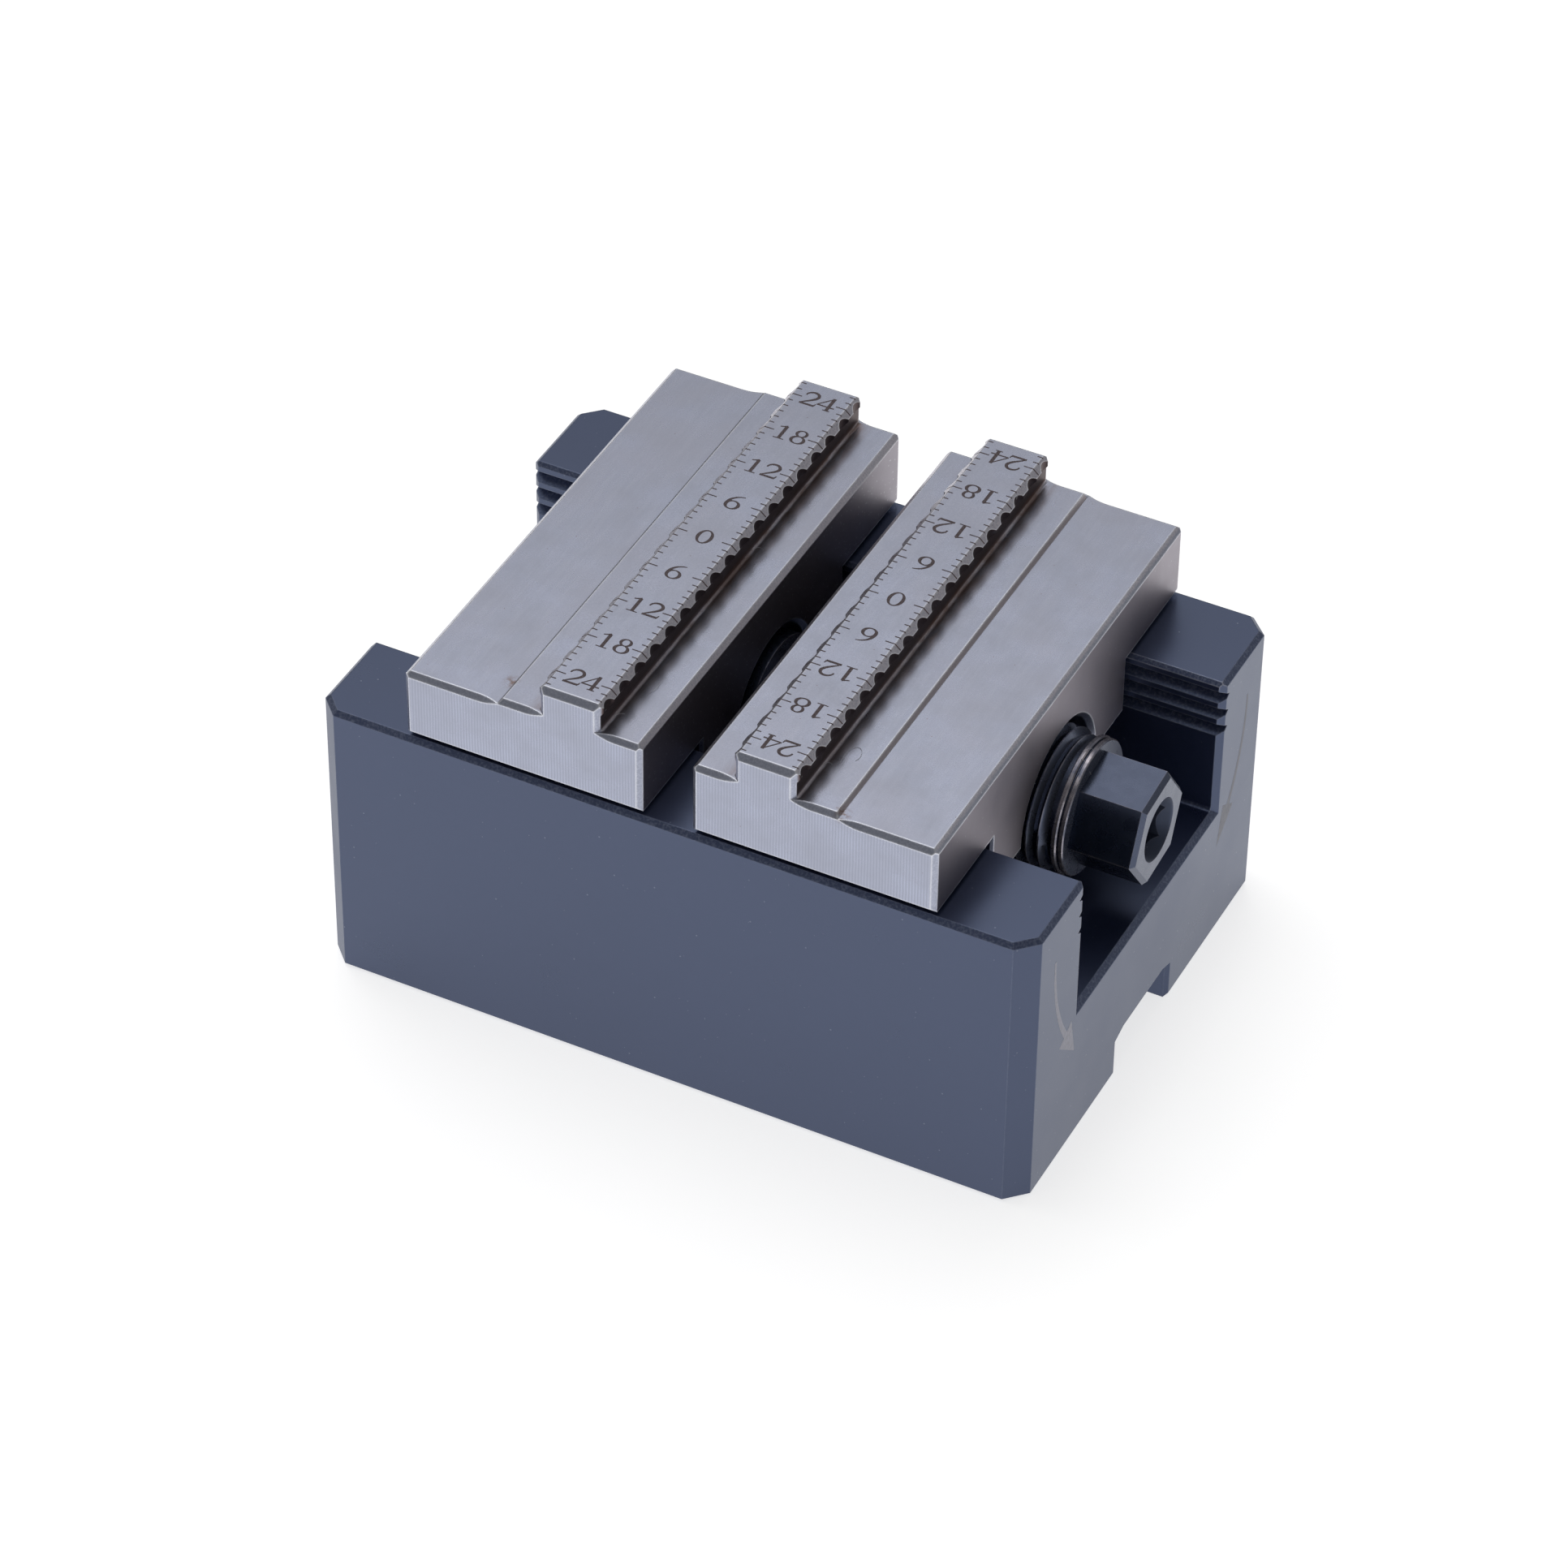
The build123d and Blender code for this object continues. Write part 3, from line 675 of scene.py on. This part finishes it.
def combine(tree, x, y, z):
    """A vector from three sockets or plain numbers."""
    made = add_node(tree, "ShaderNodeCombineXYZ")
    for index, value in enumerate((x, y, z)):
        if isinstance(value, (int, float)):
            made.inputs[index].default_value = value
        else:
            tree.links.new(value, made.inputs[index])
    return made.outputs[0]

def moved(tree, geometry, offset=None, turn=None):
    """Geometry turned about the origin and then moved."""
    made = add_node(tree, "GeometryNodeTransform")
    tree.links.new(geometry, made.inputs["Geometry"])
    for name, value in (("Translation", offset), ("Rotation", turn)):
        if value is not None:
            tree.links.new(value, made.inputs[name])
    return made.outputs[0]

def joined(tree, *geometries):
    """Geometries joined into one."""
    made = add_node(tree, "GeometryNodeJoinGeometry")
    for geometry in geometries:
        tree.links.new(geometry, made.inputs[0])
    return made.outputs[0]

def make_tick_tree():
    """Ticks along both edges of a rib: a flat stroke on top and one down over the lip's chamfer."""
    tree = bpy.data.node_groups.new("scale_ticks", "GeometryNodeTree")
    tree.interface.new_socket("Geometry", in_out="INPUT", socket_type="NodeSocketGeometry")
    sizes = ("Pitch", "Short", "Long", "Short over edge", "Long over edge", "Width", "Lift", "Depth",
             "Half rib", "Lip angle", "Centre X", "Top Z")
    for name in sizes:
        tree.interface.new_socket(name, in_out="INPUT", socket_type="NodeSocketFloat")
    for name in ("Ticks", "Numbered every"):
        tree.interface.new_socket(name, in_out="INPUT", socket_type="NodeSocketInt")
    tree.interface.new_socket("Mark", in_out="INPUT", socket_type="NodeSocketMaterial")
    tree.interface.new_socket("Geometry", in_out="OUTPUT", socket_type="NodeSocketGeometry")
    given = tree.nodes.new("NodeGroupInput").outputs
    thickness = total(tree, given["Lift"], given["Depth"])
    middle_depth = maths(tree, "SUBTRACT", given["Lift"], product(tree, thickness, 0.5))

    def stroke(length, outward):
        box = add_node(tree, "GeometryNodeMeshCube")
        tree.links.new(combine(tree, length, given["Width"], thickness), box.inputs["Size"])
        along = product(tree, length, 0.5 * outward)
        return moved(tree, box.outputs[0], combine(tree, along, 0.0, middle_depth))

    def tick(top_length, edge_length):
        flat = stroke(top_length, -1)
        slope = moved(tree, stroke(edge_length, 1), turn=combine(tree, 0.0, given["Lip angle"], 0.0))
        return moved(tree, joined(tree, flat, slope), combine(tree, given["Half rib"], 0.0, 0.0))

    half_count = product(tree, maths(tree, "SUBTRACT", given["Ticks"], 1.0), 0.5)
    row = add_node(tree, "GeometryNodeMeshLine")
    tree.links.new(given["Ticks"], row.inputs["Count"])
    start_y = product(tree, half_count, given["Pitch"], -1.0)
    tree.links.new(combine(tree, 0.0, start_y, 0.0), row.inputs["Start Location"])
    tree.links.new(combine(tree, 0.0, given["Pitch"], 0.0), row.inputs["Offset"])
    index = add_node(tree, "GeometryNodeInputIndex").outputs[0]
    from_zero = magnitude(tree, maths(tree, "SUBTRACT", index, half_count))
    left_over = maths(tree, "MODULO", from_zero, given["Numbered every"])
    numbered = maths(tree, "LESS_THAN", left_over, 0.5)
    rows = []
    for chosen, kind in ((numbered, ("Long", "Long over edge")),
                         (inverse(tree, numbered), ("Short", "Short over edge"))):
        placed = add_node(tree, "GeometryNodeInstanceOnPoints")
        tree.links.new(row.outputs[0], placed.inputs["Points"])
        tree.links.new(chosen, placed.inputs["Selection"])
        tree.links.new(tick(given[kind[0]], given[kind[1]]), placed.inputs["Instance"])
        rows.append(placed.outputs[0])
    one_edge = joined(tree, *rows)
    both_edges = joined(tree, one_edge, moved(tree, one_edge, turn=combine(tree, 0.0, 0.0, pi)))
    placed = moved(tree, both_edges, combine(tree, given["Centre X"], 0.0, given["Top Z"]))
    real = add_node(tree, "GeometryNodeRealizeInstances")
    tree.links.new(placed, real.inputs[0])
    marked = add_node(tree, "GeometryNodeSetMaterial")
    tree.links.new(real.outputs[0], marked.inputs["Geometry"])
    tree.links.new(given["Mark"], marked.inputs["Material"])
    tree.links.new(marked.outputs[0], tree.nodes.new("NodeGroupOutput").inputs[0])
    return tree

def line_stroke(points, half_widths, steps=10):
    """A smooth stroke through three or more points, its half width going from first to last."""
    line = []
    for step in range(steps + 1):
        part = step / steps
        left = [Vector(point) for point in points]
        while len(left) > 1:
            left = [a.lerp(b, part) for a, b in zip(left, left[1:])]
        width = half_widths[0] + (half_widths[1] - half_widths[0]) * part
        line.append((left[0].x, left[0].y, width))
    return line, False

def loop_stroke(x, y, reach_x, reach_y, thick=0.165, thin=0.07, steps=28):
    """A closed round stroke, thick at its sides and thin above and below."""
    line = []
    for step in range(steps):
        angle = 2 * pi * step / steps
        width = thin + (thick - thin) * cos(angle) ** 2
        line.append((x + reach_x * cos(angle), y + reach_y * sin(angle), width))
    return line, True

# The digits' strokes, in units of which a digit is about two high, about the digit's middle
digit_strokes = {
    "0": (loop_stroke(0, 0, 0.62, 0.93),),
    "1": (line_stroke(((0.05, 0.93), (0.05, -0.95)), (0.165, 0.165), 1),
          line_stroke(((-0.5, -0.97), (0.55, -0.97)), (0.06, 0.06), 1),
          line_stroke(((-0.55, 0.70), (-0.2, 0.78), (0.1, 0.98)), (0.06, 0.10), 4)),
    "2": (line_stroke(((-0.62, 0.42), (-0.62, 1.12), (0.62, 1.25), (0.62, 0.42)), (0.08, 0.165)),
          line_stroke(((0.61, 0.46), (0.50, -0.05), (-0.30, -0.45), (-0.68, -0.88)), (0.165, 0.065)),
          line_stroke(((-0.74, -0.87), (0.74, -0.87)), (0.125, 0.125), 1),
          line_stroke(((0.70, -0.85), (0.80, -0.52)), (0.09, 0.05), 1)),
    "4": (line_stroke(((0.34, 0.98), (-0.85, -0.42)), (0.07, 0.07), 1),
          line_stroke(((-0.88, -0.42), (0.85, -0.42)), (0.08, 0.08), 1),
          line_stroke(((0.30, 0.98), (0.30, -0.95)), (0.165, 0.165), 1),
          line_stroke(((-0.05, -0.97), (0.65, -0.97)), (0.06, 0.06), 1)),
    "6": (loop_stroke(0, -0.40, 0.60, 0.57),
          line_stroke(((0.68, 1.02), (0.0, 0.95), (-0.62, 0.45), (-0.60, -0.35)), (0.05, 0.165))),
    "8": (loop_stroke(0, 0.50, 0.47, 0.45, thick=0.145), loop_stroke(0, -0.46, 0.60, 0.52)),
}

def add_numbers(mesh, side):
    """The numbers on one rib; side is -1 on the left jaw and 1 on the right, which reads turned."""
    unit = digit_height / digit_units_high
    turned = -side
    layer = 0
    half_ticks = scale_ticks // 2
    for value in range(-half_ticks + half_ticks % numbered_every, half_ticks + 1, numbered_every):
        label = str(abs(value))
        for place, digit in enumerate(label):
            offset = (place - (len(label) - 1) / 2) * digit_spacing
            def to_space(x, y, depth):
                return Vector((side * rib_centre + turned * (offset + x * unit),
                               value * scale_pitch + turned * y * unit, rib_top + depth))
            for line, closed in digit_strokes[digit]:
                layer = (layer + 1) % stroke_layers
                add_slab(mesh, line, to_space, closed, lift=mark_lift + layer * stroke_layer_step)

def make_scale(name, side, mark):
    """One jaw's ticks and numbers as one mesh."""
    mesh = bmesh.new()
    add_numbers(mesh, side)
    numbers = finish_mesh(mesh, name + "_numbers", mark)
    ticks = bpy.data.objects.new(name + "_ticks", bpy.data.meshes.new(name + "_ticks"))
    scene.collection.objects.link(ticks)
    modifier = ticks.modifiers.new("ticks", "NODES")
    modifier.node_group = tick_tree
    values = {"Pitch": scale_pitch, "Short": short_tick, "Long": long_tick,
              "Short over edge": short_over_edge, "Long over edge": long_over_edge,
              "Width": tick_width, "Lift": mark_lift, "Depth": mark_depth,
              "Half rib": rib_half_top, "Lip angle": lip_angle,
              "Centre X": side * rib_centre, "Top Z": rib_top,
              "Ticks": scale_ticks, "Numbered every": numbered_every, "Mark": mark}
    for item in tick_tree.interface.items_tree:
        if item.in_out == "INPUT" and item.name in values:
            modifier[item.identifier] = values[item.name]
    evaluated = ticks.evaluated_get(bpy.context.evaluated_depsgraph_get())
    ticks_mesh = bpy.data.meshes.new_from_object(evaluated)
    ticks.modifiers.remove(modifier)
    whole = bmesh.new()
    whole.from_mesh(numbers.data)
    whole.from_mesh(ticks_mesh)
    for spare in (numbers, ticks):
        bpy.data.objects.remove(spare)
    return finish_mesh(whole, name, mark)

tick_tree = make_tick_tree()
scale_mark = make_mark_material("scale_mark", scale_mark_tone, scale_mark_bare_tone, patches_per_mm=6.0)
for name, side, body in (("left_scale", -1, "left_jaw"), ("right_scale", 1, "right_jaw")):
    scale_piece = make_scale(name, side, scale_mark)
    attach(scale_piece, body)


# Spindle. Turned from one bar and blackened: a left-hand thread on the hexagon's side, a right-hand
# thread on the other, and a neck between them for the saddle's tongue. The threads are cut here;
# collars, hexagon and socket are the solid's own.
thread_pitch = 1.25 * mm
thread_crest = thread_pitch / 8
thread_root = thread_pitch / 4
thread_flank = (thread_pitch - thread_crest - thread_root) / 2
thread_depth = thread_flank / tan(radians(30))
crest_rounding = 0.03 * mm
crest_place = 27.77 * mm
thread_start = 5.0 * mm
thread_fade = 0.9 * mm
neck_end = 2.0 * mm
runout_start = 28.75 * mm
runout_end = 29.35 * mm
runout_radius = 6.2 * mm
steps_round = 96
spare_turns = 4
seam = 0.02 * mm
merge_reach = 0.001 * mm
fine_merge_reach = 0.0005 * mm
sharp_angle = radians(28)
spindle_tone = (0.005, 0.007, 0.012, 1)
spindle_lit_end_tone = (0.055, 0.060, 0.080, 1)
spindle_tint = (0.49, 0.58, 0.87, 1)
spindle_ior = 2.15
spindle_roughness = (0.3, 0.7, 0.24, 0.32)
spindle_edge_share = 0.55
turning_stretch = (14.0, 0.6, 0.6)
lit_end_facing = (0.6, 0.8)
bright_tone = (0.50, 0.46, 0.49, 1)
collar_start = (29.9, 29.95)
collar_radius = (6.62, 6.76)
collar_share = 0.85
crest_radius = (6.93, 6.99)
crest_wear = (5.0, 6.0, 0.0, 0.45)
socket_start = (32.0, 33.0)
socket_radius = (3.3, 3.1)
socket_roughness = 0.35

shank_radius = (spindle_box[1].z - spindle_box[0].z) / 2
spindle_left_end = -spindle_box[0].x
left_chamfer = shank_radius - runout_radius

def thread_cut_depth(x, angle):
    """How deep the left-hand thread is cut at a place along the spindle and an angle round it."""
    from_crest = (x - crest_place + thread_pitch * angle / (2 * pi)) / thread_pitch
    from_crest = abs(from_crest - round(from_crest)) * thread_pitch
    full = min(max((from_crest - thread_crest / 2) / thread_flank, 0), 1) * thread_depth
    return full * min(max((x - thread_start) / thread_fade, 0), 1)

def outer_radius(x, end, end_start):
    """Radius of the blank, with the cone at its far end."""
    return shank_radius - max(x - end_start, 0) / (end - end_start) * (shank_radius - runout_radius)

def add_threaded_shank(mesh, side, end, end_start):
    """One half of the shank from the neck to its far end, side 1 towards the hexagon."""
    crest, rounding = thread_crest / 2, crest_rounding / 2
    flank_end = thread_pitch / 2 - thread_root / 2
    offsets = (-crest - rounding, -crest + rounding, crest - rounding, crest + rounding, flank_end,
               thread_pitch - flank_end)
    turns = int((end - neck_end) / thread_pitch) + spare_turns
    first = neck_end - thread_pitch + (crest_place - neck_end) % thread_pitch
    near_x, far_x = neck_end + seam, end - seam
    rows = []
    for step in range(steps_round):
        angle = 2 * pi * step / steps_round
        row = []
        for turn in range(turns):
            for offset in offsets:
                x = first + turn * thread_pitch + offset - thread_pitch * step / steps_round
                x = min(max(x, near_x), far_x)
                cut = max(thread_cut_depth(x, angle), 0.0)
                if offset in (offsets[0], offsets[3]):
                    cut += crest_rounding * min(max((x - thread_start) / thread_fade, 0), 1) / 2
                radius = min(shank_radius - cut, outer_radius(x, end, end_start))
                row.append(mesh.verts.new((side * x, -radius * sin(angle),
                                           spindle_axis_z + radius * cos(angle))))
        rows.append(row)
    for step in range(steps_round):
        shift = len(offsets) if step == steps_round - 1 else 0
        here, there = rows[step], rows[(step + 1) % steps_round]
        for index in range(shift, len(here) - 1):
            corners = [here[index], here[index + 1], there[index + 1 - shift], there[index - shift]]
            mesh.faces.new(corners if side > 0 else corners[::-1])

def make_spindle_mesh():
    """The solid's mesh with its plain shanks cut away and threaded ones put in."""
    mesh = bmesh.new()
    mesh.from_mesh(nodes["spindle"].data)
    bmesh.ops.remove_doubles(mesh, verts=mesh.verts, dist=merge_reach)
    slack = 1.5 * seam
    def on_shank(vertex):
        radius = sqrt(vertex.co.y ** 2 + (vertex.co.z - spindle_axis_z) ** 2)
        right_side = neck_end - slack < vertex.co.x < runout_end + slack
        left_side = -spindle_left_end - slack < vertex.co.x < -neck_end + slack
        return (right_side or left_side) and radius > runout_radius - slack
    def is_end_disc(face):
        return abs(abs(face.normal.x) - 1) < 0.01
    plain = [face for face in mesh.faces if all(on_shank(v) for v in face.verts)
             and not is_end_disc(face)]
    bmesh.ops.delete(mesh, geom=plain, context="FACES")
    add_threaded_shank(mesh, 1, runout_end, runout_start)
    add_threaded_shank(mesh, -1, spindle_left_end, spindle_left_end - left_chamfer)
    bmesh.ops.remove_doubles(mesh, verts=mesh.verts, dist=fine_merge_reach)
    bmesh.ops.dissolve_degenerate(mesh, edges=mesh.edges, dist=fine_merge_reach)
    for rim_x in (neck_end, runout_end, -neck_end, -spindle_left_end):
        rim = [edge for edge in mesh.edges if edge.is_boundary
               and all(abs(v.co.x - rim_x) < slack for v in edge.verts)]
        bmesh.ops.bridge_loops(mesh, edges=rim)
    bmesh.ops.recalc_face_normals(mesh, faces=mesh.faces)
    data = bpy.data.meshes.new("threaded_spindle")
    mesh.to_mesh(data)
    mesh.free()
    if "custom_normal" in data.attributes:
        data.attributes.remove(data.attributes["custom_normal"])
    data.shade_smooth()
    data.set_sharp_from_angle(angle=sharp_angle)
    return data

def make_dark_steel(name, worn_collar):
    """Blackened and oiled steel, with its collar and thread crests rubbed bright on the spindle."""
    material, tree, shader = new_material(name, metallic=0.0, ior=spindle_ior)
    vector = object_mm(tree)
    rough = ramp(tree, noise(tree, vector, per_mm=0.6, detail=3.0), *spindle_roughness)
    wear = place_group(tree, edge_wear, Reach_mm=0.14, Gain=2.4, Patchiness=0.7)
    worn = product(tree, wear.outputs["Worn edge"], spindle_edge_share)
    if worn_collar:
        x, y, z = axes(tree, vector)
        across = combine(tree, 0.0, y, maths(tree, "SUBTRACT", z, spindle_axis_z / mm))
        length = add_node(tree, "ShaderNodeVectorMath", operation="LENGTH")
        tree.links.new(across, length.inputs[0])
        radius = length.outputs["Value"]
        patches = blotches(tree, vector, per_mm=0.55, detail=4.0, low=0.30, high=0.62)
        collar = product(tree, ramp(tree, x, *collar_start), ramp(tree, radius, *collar_radius),
                         patches, collar_share)
        crest_patches = blotches(tree, vector, per_mm=1.6, detail=4.0, low=0.45, high=0.7)
        crest = product(tree, ramp(tree, radius, *crest_radius), crest_patches,
                        ramp(tree, magnitude(tree, x), *crest_wear))
        worn = maths(tree, "MAXIMUM", worn, maths(tree, "MAXIMUM", collar, crest))
        in_socket = product(tree, ramp(tree, radius, *socket_radius), ramp(tree, x, *socket_start))
        rough = total(tree, rough, product(tree, in_socket, socket_roughness))
    # Faces that look to +X are painted lighter: a painted sheen on the lit ends.
    on_end = ramp(tree, face_direction(tree)[0], *lit_end_facing)
    tone = blend_colour(tree, on_end, spindle_tone, spindle_lit_end_tone)
    tone = blend_colour(tree, worn, tone, bright_tone)
    dust = place_group(tree, specks, Per_mm=1.6, Size=0.09, Share=0.10)
    tone = painted(tree, tone, dust_tone, dust.outputs[0], share=0.4)
    tree.links.new(tone, shader.inputs["Base Color"])
    tree.links.new(worn, shader.inputs["Metallic"])
    tree.links.new(rough, shader.inputs["Roughness"])
    shader.inputs["Specular Tint"].default_value = spindle_tint
    turning = noise(tree, stretched(tree, vector, turning_stretch), per_mm=1.0, detail=2.0)
    add_bump(tree, shader, turning, strength=0.12, distance=0.015 * mm)
    return material

spindle_steel = make_dark_steel("spindle_steel", worn_collar=True)
spindle_piece = bpy.data.objects.new("threaded_spindle", make_spindle_mesh())
spindle_piece.data.materials.append(spindle_steel)
scene.collection.objects.link(spindle_piece)
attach(spindle_piece, "spindle")
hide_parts("spindle")


# Saddle and its two countersunk screws, all of blackened steel. The milled saddle carries the
# spindle's middle from below, its tongue in the spindle's neck, and the screws hold it in the body.
dark_steel = make_dark_steel("dark_steel", worn_collar=False)
for name in ("spindle_saddle", "saddle_screws"):
    dress(name, dark_steel)


# Lint. A few loose fibres, as the photograph shows them, lie on both shelves and in the teeth and
# cling to the collar; each is a thin tube that rests on its surface.
fibre_radius = 0.018
fibre_steps = 14
fibre_sides = 5
fibre_aside = Vector((0.31, 0.22, 0.93))
fibre_tone = (0.60, 0.60, 0.65, 1)
fibre_low_tone = (0.40, 0.40, 0.45, 1)
fibre_places = {
    "left_jaw": (((-6.85, -24.1, 40.72), (-6.8, -23.5, 40.80), (-6.2, -23.3, 40.72)),
                 ((-5.6, -19.6, 40.72), (-5.1, -18.7, 40.95), (-5.4, -18.0, 40.72)),
                 ((-6.6, 3.2, 41.3), (-6.0, 3.5, 41.9), (-5.9, 4.2, 40.72))),
    "right_jaw": (((13.35, -21.6, 40.72), (13.3, -20.7, 40.90), (13.9, -20.8, 40.72)),
                  ((14.47, -20.3, 40.72), (14.0, -17.6, 40.74), (15.2, -16.2, 40.76),
                   (16.2, -18.6, 40.74), (15.6, -19.4, 40.72)),
                  ((13.1, 19.2, 43.5), (13.5, 19.9, 43.9), (13.1, 20.6, 43.5)),
                  ((13.3, 19.5, 43.3), (13.1, 20.2, 43.9), (13.6, 20.3, 43.3))),
    "spindle": (((30.1, -0.6, 33.38), (30.5, 0.3, 33.75), (30.9, 0.2, 33.20)),
                ((30.3, -1.4, 33.26), (30.8, -1.6, 33.50), (31.3, -1.2, 31.55))),
}

def add_fibre(mesh, points):
    """A thin closed tube along a smooth line that starts and ends at the outer points."""
    line = []
    for step in range(fibre_steps + 1):
        left = [Vector(point) * mm for point in points]
        while len(left) > 1:
            left = [a.lerp(b, step / fibre_steps) for a, b in zip(left, left[1:])]
        line.append(left[0])
    rings = []
    for index, centre in enumerate(line):
        run = (line[min(index + 1, fibre_steps)] - line[max(index - 1, 0)]).normalized()
        side = run.cross(fibre_aside).normalized()
        over = side.cross(run)
        ring = []
        for corner in range(fibre_sides):
            angle = 2 * pi * corner / fibre_sides
            out = side * cos(angle) + over * sin(angle)
            ring.append(mesh.verts.new(centre + out * fibre_radius * mm))
        rings.append(ring)
    for here, there in zip(rings, rings[1:]):
        for corner in range(fibre_sides):
            nearby = (corner + 1) % fibre_sides
            mesh.faces.new((here[corner], here[nearby], there[nearby], there[corner]))
    mesh.faces.new(rings[0][::-1])
    mesh.faces.new(rings[-1])

fibre = make_mark_material("fibre", fibre_tone, fibre_low_tone, patches_per_mm=3.0)
for body, places in fibre_places.items():
    mesh = bmesh.new()
    for points in places:
        add_fibre(mesh, points)
    lint = finish_mesh(mesh, body + "_lint", fibre)
    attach(lint, body)
